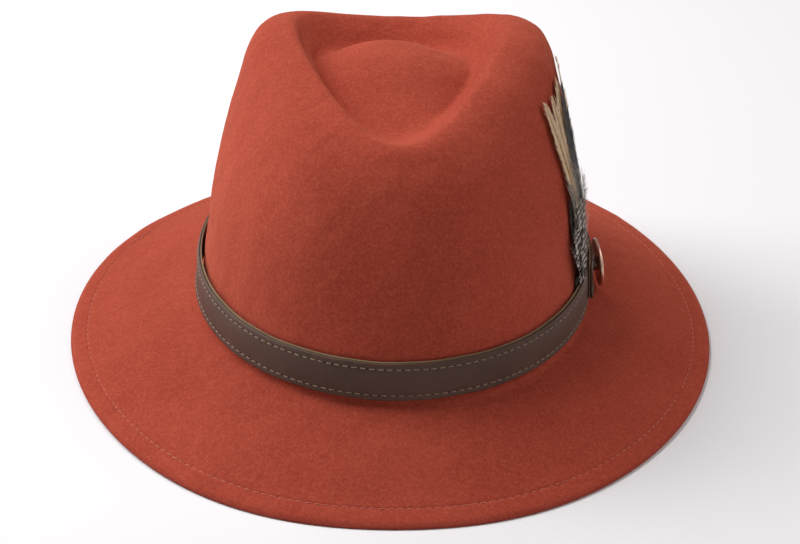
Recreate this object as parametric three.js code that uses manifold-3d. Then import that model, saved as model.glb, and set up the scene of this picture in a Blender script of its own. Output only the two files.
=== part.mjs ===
// Felt fedora with a teardrop crown, a stitched leather band, a stud badge and a feather mount.
// Millimetres, +Z up. The hat's front faces -Y, the wearer's left is +X, and the brim rests on Z = 0.

import * as THREE from 'three';
import { mergeVertices } from 'three/addons/utils/BufferGeometryUtils.js';
import Module from 'manifold-3d';

const wasm = await Module();
wasm.setup();

// ---------------------------------------------------------------- driving dimensions

const FELT = 2.5;            // thickness of the felt
const STATIONS = 64;         // stations round the hat
const FULL_TURN = 2 * Math.PI;
const GAP = 0.3;             // air between pieces that touch

// The felt's outer surface runs through these ovals, from the brim's edge to the top of the dome.
// half: half width; front, back: where the oval crosses the Y axis; z: heights at the front, the sides and
// the back; point: how far the oval narrows to the front like a teardrop; lean: shift towards +X;
// wavy, pinched: share of the brim's waves and of the crown's pinches that the oval takes.
const OVALS = [
  { name: 'brim_edge', half: 148.9, front: -159.3, back: 160.3, z: [1.9, 3, 1.9], lean: -0.4, wavy: 1 },
  { name: 'stitch_line', half: 139.2, front: -147.9, back: 149, z: [5, 5.6, 5], lean: -0.3, wavy: 0.85 },
  { name: 'brim_middle', half: 118, front: -129.8, back: 130.8, z: [14, 13.5, 13.5], wavy: 0.35 },
  { name: 'break', half: 95.5, front: -111.5, back: 111.5, z: [23.3, 21.5, 23] },
  { name: 'crown_base', half: 88.3, front: -104, back: 104, z: [28.5, 25.6, 28.2] },
  { name: 'band_top', half: 86.3, front: -101.5, back: 102, z: [48, 45.5, 47.5], lean: 0.2 },
  { name: 'wall', half: 82, front: -92, back: 97, z: [80, 82, 80], point: 0.03, lean: 0.8, pinched: 0.8 },
  { name: 'shoulder', half: 74, front: -76, back: 89, z: [109, 110.5, 105.5],
    point: 0.16, lean: 1.6, pinched: 1 },
  { name: 'roll', half: 65, front: -63, back: 82.5, z: [120, 130.5, 119],
    point: 0.3, lean: 2, pinched: 0.2 },
  { name: 'crest', half: 50, front: -54.5, back: 75, z: [124.5, 136, 124.5], point: 0.36, lean: 1.6 },
  { name: 'fold', half: 42.3, front: -47.5, back: 67, z: [123.5, 132.5, 122], point: 0.32, lean: 0.8 },
  { name: 'slope', half: 38, front: -41.5, back: 60.5, z: [120.8, 127, 117.5], point: 0.3 },
  { name: 'channel', half: 35, front: -34, back: 55, z: [119, 123, 116.5], point: 0.28, lean: -0.8 },
  { name: 'dome_foot', half: 31, front: -24, back: 50, z: [120, 124.5, 120.5], point: 0.2, lean: -1.8 },
  { name: 'dome_side', half: 23, front: -8, back: 43, z: [124.8, 128.5, 128], point: 0.1, lean: -3 },
  { name: 'dome_top', half: 12, front: 8, back: 34, z: [130.3, 131.3, 131.5], lean: -4 },
];
const DOME_PEAK = new THREE.Vector3(-4, 21, 132);

// Soft swells that hand shaping leaves, in degrees round from +X: where, how wide and how far out.
const BRIM_WAVES = [
  { at: 238, reach: 24, out: 1.4 },
  { at: 125, reach: 24, out: -5.5 },
  { at: -90, reach: 20, out: -2.1 },
  { at: 52, reach: 24, out: 2.4 },
];
const PINCHES = [
  { at: -99, reach: 21, out: -4 },
  { at: -130, reach: 15, out: 1.5 },
];

const ROW = Object.fromEntries(OVALS.map((oval, index) => [oval.name, index]));
const FELT_ROWS = [
  0, 0.5, 1, 1.5, 2, 2.5, 3, 3.4, 3.7, 4, 5, 5.5, 6, 6.5, 7, 7.5, 8, 8.5, 9, 9.5, 10, 11, 12, 13, 14, 15, 16,
];

const THREAD = 0.35;               // radius of the sewing thread
const THREAD_CLEAR = 0.8;          // thread centre to the surface it is sewn on

const SWEATBAND_ROWS = [3.7, 4, 5, 5.4];
const SWEATBAND_OUT = -FELT - 0.6;  // the sweatband's outer face, off the felt's outer surface
const SWEATBAND_THICK = 0.9;
const SWEATBAND_FACE = SWEATBAND_OUT - SWEATBAND_THICK;
const REED_RADIUS = 1.1;
const LINING_ROWS = [5.5, 6, 6.5];
const LINING_OUT = -FELT - 0.5;
const LINING_THICK = 0.6;
const TIP_MIDDLE = new THREE.Vector3(1, 2, 101);   // where the lining's crown piece sags lowest
const BOW = { row: 4.45, half: 9, tall: 1.4, flare: 3, thick: 0.9, bend: 170 };
const LABEL = { rows: [4.5, 5.1], degrees: [58, 70], thick: 0.5 };

const STRAP_GAP = 0.5;             // strap to crown at the front and the back
const STRAP_LEFT_GAP = 1.1;        // further air on the wearer's right, where the strap stands proud
const STRAP_RIGHT_GAP = 0.8;       // and on the wearer's left
const STRAP_PLY = 0.9;             // each of the strap's two plies with the seam between them
const STRAP_FROM = 4.03;           // row of the strap's lower edge
const STRAP_TO = 4.97;             // row of the strap's upper edge
const STRAP_STEPS = 68;
const STRAP_OVERLAP = 20;          // degrees that the strap's end passes over its start
const STRAP_START = 11;            // degrees round from +X where the inner end lies
const STRAP_SEAMS = [4.24, 4.85];  // rows of its two lines of stitching
const STRAP_CLIMB = [344, 358];    // degrees along the strap where its outer end climbs over the inner one

const BADGE_ANGLE = 2;             // degrees round from +X
const BADGE_TURN = 7;              // degrees that the badge's face looks towards the back
const BADGE_TILT = 6;              // degrees that it looks up
const BADGE_RADIUS = 11.2;
const SCREW_RADIUS = 1.5;
const SCREW_HEAD = { radius: 2.8, thick: 0.5, out: 0.75 };

const FEATHER_ANGLE = -22;         // degrees round from +X where the mount is tucked in
const FEATHER_LEAN = 24;           // degrees that the mount leans back
const FEATHER_CLEAR = 1;           // first layer of feathers to the crown
const FEATHER_LAYER = 0.8;         // one layer to the next
const FEATHER_LAYERS = 4;
const FEATHER_THICK = 0.45;
const FEATHER_SPLAY = 0.4;         // how much further each layer's tips stand off than those under it
const TAB = { from: 3, to: 20.4, half: 4.6, out: 0.54, thick: 0.3 };
const BINDING = { from: 21, to: 24.2, half: 4.2, swell: 0.5, out: 0.8 };
const QUILL_END = 24.6;            // where the feathers leave the wrapping

// ---------------------------------------------------------------- the crown's surface

const radians = THREE.MathUtils.degToRad;

function swell(angle, swells) {
  let total = 0;
  for (const { at, reach, out } of swells) {
    const away = THREE.MathUtils.euclideanModulo(THREE.MathUtils.radToDeg(angle) - at + 180, 360) - 180;
    total += out * Math.exp(-((away / reach) ** 2));
  }
  return total;
}

function ovalPoint(index, angle) {
  if (index >= OVALS.length) return DOME_PEAK.clone();
  const { half, front, back, z, point = 0, lean = 0, wavy = 0, pinched = 0 } = OVALS[index];
  const side = Math.cos(angle);
  const along = Math.sin(angle);
  const halfLength = (back - front) / 2;
  const [zFront, zSide, zBack] = z;
  const zEnd = along < 0 ? zFront : zBack;
  const wave = wavy * swell(angle, BRIM_WAVES) + pinched * swell(angle, PINCHES);
  return new THREE.Vector3(
    lean + half * side * (1 + 0.6 * point * along) + wave * side,
    (back + front) / 2 + halfLength * (along + point * side * side) + wave * along,
    zSide + (zEnd - zSide) * along * along,
  );
}

function controlPoint(index, angle) {
  if (index < 0) return ovalPoint(0, angle).multiplyScalar(2).sub(ovalPoint(1, angle));
  if (index > OVALS.length) return ovalPoint(2 * OVALS.length - index, angle + Math.PI);
  return ovalPoint(index, angle);
}

// A point of the felt's outer surface: row counts the ovals, angle runs from +X towards the back.
function feltPoint(row, angle) {
  const index = Math.min(Math.floor(row), OVALS.length - 1);
  const u = row - index;
  const [a, b, c, d] = [-1, 0, 1, 2].map((step) => controlPoint(index + step, angle));
  return new THREE.Vector3(
    ...['x', 'y', 'z'].map((k) => 0.5 * (
      2 * b[k] + (c[k] - a[k]) * u + (2 * a[k] - 5 * b[k] + 4 * c[k] - d[k]) * u * u
      + (3 * b[k] - a[k] - 3 * c[k] + d[k]) * u * u * u)),
  );
}

function feltNormal(row, angle) {
  const step = 0.02;
  if (row >= OVALS.length - step) return new THREE.Vector3(0, 0, 1);
  const low = Math.max(row - step, 0);
  const upwards = feltPoint(row + step, angle).sub(feltPoint(low, angle));
  const around = feltPoint(row, angle + step).sub(feltPoint(row, angle - step));
  return around.cross(upwards).normalize();
}

// The same point moved out of the felt (or into it, when out is negative).
function offFelt(row, angle, out) {
  return feltPoint(row, angle).addScaledVector(feltNormal(row, angle), out);
}

// ---------------------------------------------------------------- solids from sections

function solidFromTriangles(positions) {
  const raw = new THREE.BufferGeometry();
  raw.setAttribute('position', new THREE.Float32BufferAttribute(positions, 3));
  const merged = mergeVertices(raw, 1e-3);
  const index = [];
  for (let k = 0; k < merged.index.count; k += 3) {
    const corners = [0, 1, 2].map((step) => merged.index.getX(k + step));
    if (new Set(corners).size === 3) index.push(...corners);
  }
  if (signedVolume(merged.attributes.position, index) < 0) index.reverse();
  merged.setIndex(index);
  merged.computeVertexNormals();
  return merged;
}

function signedVolume(position, index) {
  const [a, b, c] = [new THREE.Vector3(), new THREE.Vector3(), new THREE.Vector3()];
  let volume = 0;
  for (let k = 0; k < index.length; k += 3) {
    a.fromBufferAttribute(position, index[k]);
    b.fromBufferAttribute(position, index[k + 1]);
    c.fromBufferAttribute(position, index[k + 2]);
    volume += a.dot(b.cross(c)) / 6;
  }
  return volume;
}

// Joins each section (a closed polygon) to the next. A ring joins its last section to its first, and
// anything else is capped at both ends.
function skin(sections, ring) {
  const positions = [];
  const triangle = (...corners) => corners.forEach((corner) => positions.push(corner.x, corner.y, corner.z));
  const spans = ring ? sections.length : sections.length - 1;
  for (let i = 0; i < spans; i += 1) {
    const here = sections[i];
    const next = sections[(i + 1) % sections.length];
    for (let j = 0; j < here.length; j += 1) {
      const k = (j + 1) % here.length;
      triangle(here[j], here[k], next[k]);
      triangle(here[j], next[k], next[j]);
    }
  }
  if (!ring) {
    const first = sections[0];
    const last = sections[sections.length - 1];
    for (let j = 1; j < first.length - 1; j += 1) {
      triangle(first[0], first[j + 1], first[j]);
      triangle(last[0], last[j], last[j + 1]);
    }
  }
  return solidFromTriangles(positions);
}

function ringOfSections(sectionAt, stations = STATIONS) {
  const sections = [];
  for (let i = 0; i < stations; i += 1) {
    sections.push(sectionAt((i / stations) * FULL_TURN));
  }
  return skin(sections, true);
}

// A layer that follows the felt between two rows, from one distance off it to another.
function layer(rows, angle, near, far) {
  return [
    ...rows.map((row) => offFelt(row, angle, far)),
    ...rows.map((row) => offFelt(row, angle, near)).reverse(),
  ];
}

function evenRows(from, to, count) {
  return Array.from({ length: count + 1 }, (_, k) => from + ((to - from) * k) / count);
}

function threadSection(centre, out, up, radius = THREAD) {
  return [0, 1, 2, 3].map((k) => {
    const turn = (k * Math.PI) / 2;
    return centre.clone()
      .addScaledVector(out, radius * Math.cos(turn))
      .addScaledVector(up, radius * Math.sin(turn));
  });
}

// The direction round the hat.
function alongHat(row, angle) {
  return feltPoint(row, angle + 0.01).sub(feltPoint(row, angle - 0.01)).normalize();
}

// Sewing thread round the hat at one row, a set distance off the felt.
function threadRing(row, out) {
  return ringOfSections((angle) => {
    const normal = feltNormal(row, angle);
    return threadSection(offFelt(row, angle, out), normal, normal.clone().cross(alongHat(row, angle)));
  });
}

// ---------------------------------------------------------------- cuts

function toManifold(geometry) {
  const bare = geometry.clone();
  bare.deleteAttribute('normal');
  bare.deleteAttribute('uv');
  const welded = mergeVertices(bare, 1e-4);
  const mesh = new wasm.Mesh({
    numProp: 3,
    vertProperties: new Float32Array(welded.attributes.position.array),
    triVerts: new Uint32Array(welded.index.array),
  });
  return new wasm.Manifold(mesh);
}

function cut(geometry, cutter) {
  const result = toManifold(geometry).subtract(toManifold(cutter)).getMesh();
  const cutGeometry = new THREE.BufferGeometry();
  cutGeometry.setAttribute('position', new THREE.BufferAttribute(result.vertProperties, 3));
  cutGeometry.setIndex(new THREE.BufferAttribute(result.triVerts, 1));
  cutGeometry.computeVertexNormals();
  return cutGeometry;
}

// ---------------------------------------------------------------- the felt and what is sewn into it

function feltBody() {
  const pole = OVALS.length;
  const body = ringOfSections((angle) => layer(FELT_ROWS.map((row) => Math.min(row, pole)), angle, -FELT, 0));
  const table = new THREE.BoxGeometry(400, 400, 10);
  table.translate(0, 0, -5);
  return cut(body, table);
}

function sweatband() {
  return ringOfSections((angle) => layer(SWEATBAND_ROWS, angle, SWEATBAND_OUT, SWEATBAND_FACE));
}

// The reed is a stiff cord in the sweatband's lower edge, that keeps the head opening's shape.
function sweatbandReed() {
  const row = ROW.break + 0.5;
  return ringOfSections((angle) => {
    const normal = feltNormal(row, angle);
    const centre = offFelt(row, angle, -FELT - REED_RADIUS - 0.5);
    return threadSection(centre, normal, normal.clone().cross(alongHat(row, angle)), REED_RADIUS);
  });
}

function sweatbandThread() {
  return threadRing(SWEATBAND_ROWS[0] + 0.16, SWEATBAND_FACE - THREAD_CLEAR);
}

function liningWall() {
  return ringOfSections((angle) => layer(LINING_ROWS, angle, LINING_OUT, LINING_OUT - LINING_THICK));
}

// The lining's crown piece hangs across the crown, under the crease.
function liningTip() {
  const rimRow = LINING_ROWS[2] + 0.1;
  const shares = [0.985, 0.6, 0];
  return ringOfSections((angle) => {
    const rim = offFelt(rimRow, angle, LINING_OUT - 0.7);
    const at = (share, drop) => TIP_MIDDLE.clone().lerp(rim, share).setZ(
      THREE.MathUtils.lerp(TIP_MIDDLE.z, rim.z, share * share) - drop);
    return [
      ...shares.map((share) => at(share, 0)),
      ...shares.map((share) => at(share, LINING_THICK)).reverse(),
    ];
  });
}

// A flat ribbon bow at the back of the sweatband, narrow at its knot and bent to the head's curve.
function sweatbandBow() {
  const { row, half, tall, flare, thick, bend } = BOW;
  const centre = offFelt(row, Math.PI / 2, SWEATBAND_FACE - 1.3);
  const sections = evenRows(-half, half, 6).map((x) => {
    const high = tall + flare * Math.abs(x / half);
    const near = -(x * x) / bend - thick / 2;
    return [[near, -high], [near, high], [near + thick, high], [near + thick, -high]].map(([y, z]) => (
      new THREE.Vector3(centre.x + x, centre.y + y, centre.z + z)));
  });
  return skin(sections, false);
}

function sizeLabel() {
  const far = SWEATBAND_FACE - LABEL.thick;
  const sections = evenRows(...LABEL.degrees, 3).map((degrees) => (
    layer(LABEL.rows, radians(degrees), far - LABEL.thick, far)));
  return skin(sections, false);
}

// ---------------------------------------------------------------- the leather band

// The strap's inner end lies on the wearer's left. From there the strap runs round the front, and its
// outer end comes back over the inner one from behind.
const strapDegrees = (step) => (step * (360 + STRAP_OVERLAP)) / STRAP_STEPS;
const strapAngle = (degrees) => radians(STRAP_START - degrees);

function strapGap(angle) {
  const side = Math.cos(angle);
  return STRAP_GAP + (side > 0 ? STRAP_RIGHT_GAP : STRAP_LEFT_GAP) * side ** 2;
}

function strapOut(degrees) {
  const lift = 2 * STRAP_PLY + GAP;
  return strapGap(strapAngle(degrees)) + lift * THREE.MathUtils.smoothstep(degrees, ...STRAP_CLIMB);
}

function strapPly(from, to, near, far) {
  return skin(evenRows(0, STRAP_STEPS, STRAP_STEPS).map((step) => {
    const degrees = strapDegrees(step);
    const out = strapOut(degrees);
    return layer([from, to], strapAngle(degrees), out + near, out + far);
  }), false);
}

function badgeNormal() {
  const tilt = radians(BADGE_TILT);
  const turn = radians(BADGE_TURN);
  return new THREE.Vector3(Math.cos(tilt) * Math.cos(turn), Math.cos(tilt) * Math.sin(turn), Math.sin(tilt));
}

// Puts a solid made along +Y on the badge's axis, at a distance off the felt.
function onBadgeAxis(geometry, out) {
  const normal = badgeNormal();
  const foot = feltPoint((STRAP_FROM + STRAP_TO) / 2, radians(BADGE_ANGLE));
  geometry.applyQuaternion(new THREE.Quaternion().setFromUnitVectors(new THREE.Vector3(0, 1, 0), normal));
  geometry.translate(...foot.addScaledVector(normal, out));
  return geometry;
}

function screwHole(geometry) {
  const radius = SCREW_RADIUS + GAP;
  return cut(geometry, onBadgeAxis(new THREE.CylinderGeometry(radius, radius, 30, 20), 0));
}

// The backing is bored wider under the screw's head, which lies flush in it.
function strapBacking() {
  const backing = screwHole(strapPly(STRAP_FROM, STRAP_TO, 0, STRAP_PLY - 1.3 * GAP));
  const radius = SCREW_HEAD.radius + 0.6;
  const innerPly = strapGap(radians(BADGE_ANGLE)) + STRAP_PLY;
  return cut(backing, onBadgeAxis(new THREE.CylinderGeometry(radius, radius, 4, 24), innerPly - 2));
}

function strapFace() {
  return screwHole(strapPly(STRAP_FROM + 0.03, STRAP_TO - 0.03, STRAP_PLY, 2 * STRAP_PLY));
}

// A line of stitching on the strap's face, from where the overlap leaves it to the outer end.
function strapThread(row) {
  return skin(evenRows(5, STRAP_STEPS - 1, STRAP_STEPS - 6).map((step) => {
    const degrees = strapDegrees(step);
    const angle = strapAngle(degrees);
    const normal = feltNormal(row, angle);
    const centre = offFelt(row, angle, strapOut(degrees) + 2 * STRAP_PLY + THREAD_CLEAR);
    return threadSection(centre, normal, normal.clone().cross(alongHat(row, angle)));
  }), false);
}

// ---------------------------------------------------------------- the stud badge

const STRAP_STACK = STRAP_GAP + STRAP_RIGHT_GAP + 4 * STRAP_PLY + GAP;
const WASHER = { radius: 4, thick: 0.7, out: STRAP_STACK + 0.7 };
const BADGE_OUT = WASHER.out + WASHER.thick + GAP;
const BOSS_DEPTH = 2.4;

function lathe(profile, segments) {
  return new THREE.LatheGeometry(profile.map(([r, y]) => new THREE.Vector2(r, y)), segments);
}

// A domed disc with a plain raised ring, on a boss that takes the screw.
function badgeDisc() {
  const r = BADGE_RADIUS;
  const bore = SCREW_RADIUS + GAP;
  return onBadgeAxis(lathe([
    [0, BOSS_DEPTH], [bore, BOSS_DEPTH], [bore, 0], [3.4, 0], [3.4, 0.7], [r - 1, 0.5], [r, 0.9], [r, 1.5],
    [r - 0.6, 2.1], [r - 1.5, 1.8], [r - 2.4, 2.1], [r * 0.58, 2.9], [r * 0.52, 2.7], [r * 0.4, 3.2],
    [0, 3.7],
  ], 32), BADGE_OUT);
}

function badgeScrew() {
  const { radius, thick, out } = SCREW_HEAD;
  const length = BADGE_OUT + BOSS_DEPTH - GAP - out;
  return onBadgeAxis(lathe([
    [0, 0], [radius, 0], [radius, thick], [SCREW_RADIUS, thick], [SCREW_RADIUS, length], [0, length],
  ], 20), out);
}

function badgeWasher() {
  const bore = SCREW_RADIUS + GAP;
  const { radius, thick, out } = WASHER;
  return onBadgeAxis(lathe([[bore, 0], [radius, 0], [radius, thick], [bore, thick], [bore, 0]], 24), out);
}

// ---------------------------------------------------------------- the feather mount

// Where the mount is tucked in, and the directions up it and across it.
function featherFrame() {
  const angle = radians(FEATHER_ANGLE);
  const foot = feltPoint(ROW.band_top - 0.75, angle);
  const lean = radians(FEATHER_LEAN);
  const up = new THREE.Vector2(Math.sin(lean), Math.cos(lean));
  return { foot, up, across: new THREE.Vector2(-up.y, up.x) };
}

// The crown's surface at a place (y, z) on the wearer's left.
function wall(y, z) {
  let row = ROW.band_top;
  let angle = 0;
  for (let pass = 0; pass < 30; pass += 1) {
    const here = feltPoint(row, angle);
    row = THREE.MathUtils.clamp(row + (z - here.z) / 30, ROW.break, ROW.shoulder + 0.6);
    angle = THREE.MathUtils.clamp(angle + (y - here.y) / 95, -1, 1);
  }
  return { x: feltPoint(row, angle).x, normal: feltNormal(row, angle) };
}

// A thin blade that lies along the crown: stem is its middle line as [up, across] points from the
// mount's foot, width its half width along the way, out its distance off the felt.
function blade(stem, width, out, thick, steps) {
  const { foot, up, across } = featherFrame();
  const line = new THREE.CatmullRomCurve3(stem.map(([s, w]) => new THREE.Vector3(s, w, 0)));
  return skin(evenRows(0, 1, steps).map((share) => {
    const at = line.getPoint(share);
    const half = width(share);
    const place = (side, further) => {
      const w = at.y + side * half;
      const y = foot.y + at.x * up.x + w * across.x;
      const z = foot.z + at.x * up.y + w * across.y;
      const { x, normal } = wall(y, z);
      return new THREE.Vector3(x, y, z).addScaledVector(normal, out(share) + further);
    };
    return [place(-1, 0), place(0, 0), place(1, 0), place(1, thick), place(0, thick), place(-1, thick)];
  }), false);
}

// Two feathers lie side by side in most layers; the first layer is the nearest to the crown.
const FEATHERS = [
  {
    name: 'feather_cream_back', layer: 0, width: 4, colour: 0xb79f78,
    stem: [[QUILL_END, -2.4], [44, -5], [80, -12], [117, -26]],
  },
  {
    name: 'feather_cream_middle', layer: 0, width: 4, colour: 0xc9b48d,
    stem: [[QUILL_END, 2.4], [44, 4.6], [80, -1], [105, -13]],
  },
  {
    name: 'feather_dark_long', layer: 1, width: 4.6, colour: 0x2b211c,
    stem: [[QUILL_END, -2.4], [44, -4], [74, -6], [104, -17]],
  },
  {
    name: 'feather_cream_front', layer: 1, width: 4.2, colour: 0xbfa67c,
    stem: [[QUILL_END, 2.4], [44, 6.6], [70, 8.4], [94, 6.5]],
  },
  {
    name: 'feather_grey_fluff', layer: 2, width: 6.5, colour: 0x8d8a86,
    stem: [[QUILL_END, 0], [46, 2.5], [70, 1]],
  },
  {
    name: 'feather_speckled_long', layer: 3, width: 3.2, colour: 0x4a4744,
    stem: [[QUILL_END, -2.2], [36, -2.4], [56, 0]],
  },
  {
    name: 'feather_speckled_short', layer: 3, width: 3.2, colour: 0x55514d,
    stem: [[QUILL_END, 2.4], [32, 6.5], [44, 10]],
  },
];

// The stiff tab that the quills are sewn to, tucked between the strap and the crown.
function featherTab() {
  const { from, to, half, out, thick } = TAB;
  return blade([[from, 0], [(from + to) / 2, 0], [to, 0]], () => half, () => out, thick, 6);
}

// The wrapping round the quill ends, just above the strap.
function featherBinding() {
  const { from, to, half, swell: fuller, out } = BINDING;
  const width = (share) => half + fuller * Math.sin(Math.PI * share);
  return blade([[from, 0], [to, 0]], width, () => out, FEATHER_LAYERS * FEATHER_LAYER, 4);
}

function feather({ stem, width, layer: order }) {
  const out = (share) => FEATHER_CLEAR + order * (FEATHER_LAYER + FEATHER_SPLAY * share * share);
  const half = (share) => 0.3 + width * Math.sin(Math.PI * (0.1 + 0.9 * share)) ** 0.8;
  return blade(stem, half, out, FEATHER_THICK, 9);
}

// ---------------------------------------------------------------- assembly

const MATERIALS = {
  felt: { color: 0xa8483a, roughness: 0.95, metalness: 0 },
  brimThread: { color: 0xc06848, roughness: 0.8, metalness: 0 },
  sweatband: { color: 0x5a3b2a, roughness: 0.6, metalness: 0 },
  reed: { color: 0x3a261c, roughness: 0.7, metalness: 0 },
  lining: { color: 0x8f7b62, roughness: 0.35, metalness: 0 },
  ribbon: { color: 0x2a1c16, roughness: 0.6, metalness: 0 },
  label: { color: 0xe6e0d2, roughness: 0.7, metalness: 0 },
  strap: { color: 0x44332d, roughness: 0.55, metalness: 0 },
  strapBacking: { color: 0x8d7a5c, roughness: 0.8, metalness: 0 },
  strapThread: { color: 0xa08a70, roughness: 0.8, metalness: 0 },
  badge: { color: 0xc79a78, roughness: 0.25, metalness: 1 },
  screw: { color: 0x9a8f84, roughness: 0.35, metalness: 1 },
  tab: { color: 0x2e221b, roughness: 0.9, metalness: 0 },
};

const hat = new THREE.Group();
hat.name = 'fedora';

function add(name, geometry, look) {
  const mesh = new THREE.Mesh(geometry, new THREE.MeshStandardMaterial(look));
  mesh.name = name;
  hat.add(mesh);
}

add('felt_body', feltBody(), MATERIALS.felt);
add('brim_needle_thread', threadRing(ROW.stitch_line, THREAD_CLEAR), MATERIALS.brimThread);
add('brim_bobbin_thread', threadRing(ROW.stitch_line, -FELT - THREAD_CLEAR), MATERIALS.brimThread);
add('sweatband', sweatband(), MATERIALS.sweatband);
add('sweatband_reed', sweatbandReed(), MATERIALS.reed);
add('sweatband_thread', sweatbandThread(), MATERIALS.strapThread);
add('sweatband_bow', sweatbandBow(), MATERIALS.ribbon);
add('size_label', sizeLabel(), MATERIALS.label);
add('lining_wall', liningWall(), MATERIALS.lining);
add('lining_tip', liningTip(), MATERIALS.lining);

add('band_strap', strapFace(), MATERIALS.strap);
add('band_backing', strapBacking(), MATERIALS.strapBacking);
add('band_upper_thread', strapThread(STRAP_SEAMS[1]), MATERIALS.strapThread);
add('band_lower_thread', strapThread(STRAP_SEAMS[0]), MATERIALS.strapThread);

add('badge_disc', badgeDisc(), MATERIALS.badge);
add('badge_screw', badgeScrew(), MATERIALS.screw);
add('badge_washer', badgeWasher(), MATERIALS.screw);

add('feather_tab', featherTab(), MATERIALS.tab);
add('feather_binding', featherBinding(), MATERIALS.tab);
FEATHERS.forEach((entry) => {
  add(entry.name, feather(entry), { color: entry.colour, roughness: 0.8, metalness: 0 });
});

export default hat;
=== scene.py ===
"""Looks for the felt fedora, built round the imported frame. Lengths are millimetres until a mesh is made."""
import math

import bmesh
import bpy
import numpy as np
from mathutils import Matrix, Vector

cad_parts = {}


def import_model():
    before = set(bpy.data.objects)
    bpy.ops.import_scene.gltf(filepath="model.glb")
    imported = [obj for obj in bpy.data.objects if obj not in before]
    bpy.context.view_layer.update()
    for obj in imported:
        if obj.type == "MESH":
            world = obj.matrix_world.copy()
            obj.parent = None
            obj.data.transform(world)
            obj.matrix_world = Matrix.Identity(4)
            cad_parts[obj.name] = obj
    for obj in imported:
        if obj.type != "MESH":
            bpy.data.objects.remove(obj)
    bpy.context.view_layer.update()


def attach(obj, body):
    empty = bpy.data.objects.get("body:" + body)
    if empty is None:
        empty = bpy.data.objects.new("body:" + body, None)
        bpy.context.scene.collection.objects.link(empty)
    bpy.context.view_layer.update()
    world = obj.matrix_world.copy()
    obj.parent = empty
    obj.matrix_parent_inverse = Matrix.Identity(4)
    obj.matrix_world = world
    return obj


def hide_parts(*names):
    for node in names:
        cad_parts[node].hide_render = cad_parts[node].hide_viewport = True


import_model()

MM = 0.001
FULL_TURN = 2 * np.pi
rng = np.random.default_rng(7)

# ---------- driving dimensions, the same as the frame's

FELT = 2.5           # thickness of the felt
AIR = 0.3            # between pieces that touch

# name, half width, front y, back y, point, z at front, sides and back, lean, wavy, pinched
OVALS = [
    ("brim_edge", 148.9, -159.3, 160.3, 0, 1.9, 3, 1.9, -0.4, 1, 0),
    ("stitch_line", 139.2, -147.9, 149, 0, 5, 5.6, 5, -0.3, 0.85, 0),
    ("brim_middle", 118, -129.8, 130.8, 0, 14, 13.5, 13.5, 0, 0.35, 0),
    ("break", 95.5, -111.5, 111.5, 0, 23.3, 21.5, 23, 0, 0, 0),
    ("crown_base", 88.3, -104, 104, 0, 28.5, 25.6, 28.2, 0, 0, 0),
    ("band_top", 86.3, -101.5, 102, 0, 48, 45.5, 47.5, 0.2, 0, 0),
    ("wall", 82, -92, 97, 0.03, 80, 82, 80, 0.8, 0, 0.8),
    ("shoulder", 74, -76, 89, 0.16, 109, 110.5, 105.5, 1.6, 0, 1),
    ("crest_outer", 65, -63, 82.5, 0.3, 120, 130.5, 119, 2, 0, 0.2),
    ("crest", 50, -54.5, 75, 0.36, 124.5, 136, 124.5, 1.6, 0, 0),
    ("crest_inner", 42.3, -47.5, 67, 0.32, 123.5, 132.5, 122, 0.8, 0, 0),
    ("slope", 38, -41.5, 60.5, 0.3, 120.8, 127, 117.5, 0, 0, 0),
    ("channel", 35, -34, 55, 0.28, 119, 123, 116.5, -0.8, 0, 0),
    ("dome_foot", 31, -24, 50, 0.2, 120, 124.5, 120.5, -1.8, 0, 0),
    ("dome_side", 23, -8, 43, 0.1, 124.8, 128.5, 128, -3, 0, 0),
    ("dome_top", 12, 8, 34, 0, 130.3, 131.3, 131.5, -4, 0, 0),
    ("dome_peak", 0, 21, 21, 0, 132, 132, 132, -4, 0, 0),
]

# Soft swells: where, in degrees round from +X, how wide and how far out.
BRIM_WAVES = [(238, 24, 1.4), (125, 24, -5.5), (-90, 20, -2.1), (52, 24, 2.4)]
PINCHES = [(-99, 21, -4), (-130, 15, 1.5)]
ROW = {oval[0]: index for index, oval in enumerate(OVALS)}
PEAK = ROW["dome_peak"]
OVAL_TABLE = np.array([oval[1:] for oval in OVALS], float)

BRIM_SEAM = 0.86            # row of the stitching round the brim

STRAP_GAP = 0.5             # strap to crown at the front and the back
STRAP_LEFT_GAP = 1.1        # further air on the wearer's right, where the strap stands proud
STRAP_RIGHT_GAP = 0.8       # and on the wearer's left
STRAP_PLY = 0.9             # each of the two plies
STRAP_ROWS = (4.03, 4.97)
STRAP_SEAMS = (4.24, 4.85)  # rows of its two lines of stitching
STRAP_OVERLAP = 20          # degrees that the strap's end passes over its start
STRAP_START = 11            # degrees round from +X where the inner end lies
STRAP_CLIMB = (344, 358)    # degrees along the strap where its outer end climbs over the inner one


# ---------- the crown's surface

NEAR = 0.02     # how far apart, in rows or radians, the points that give a direction on the felt lie


def swell(angle, swells):
    total = np.zeros_like(angle)
    for at, reach, out in swells:
        away = (np.degrees(angle) - at + 180) % 360 - 180
        total += out * np.exp(-(away / reach) ** 2)
    return total


def oval_point(index, angle):
    columns = np.moveaxis(OVAL_TABLE[index], -1, 0)
    half, front, back, point, z_front, z_side, z_back, lean, wavy, pinched = columns
    side, along = np.cos(angle), np.sin(angle)
    half_length = (back - front) / 2
    z_end = np.where(along < 0, z_front, z_back)
    wave = wavy * swell(angle, BRIM_WAVES) + pinched * swell(angle, PINCHES)
    return np.stack([
        lean + half * side * (1 + 0.6 * point * along) + wave * side,
        (back + front) / 2 + half_length * (along + point * side * side) + wave * along,
        z_side + (z_end - z_side) * along * along,
    ], -1)


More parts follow.
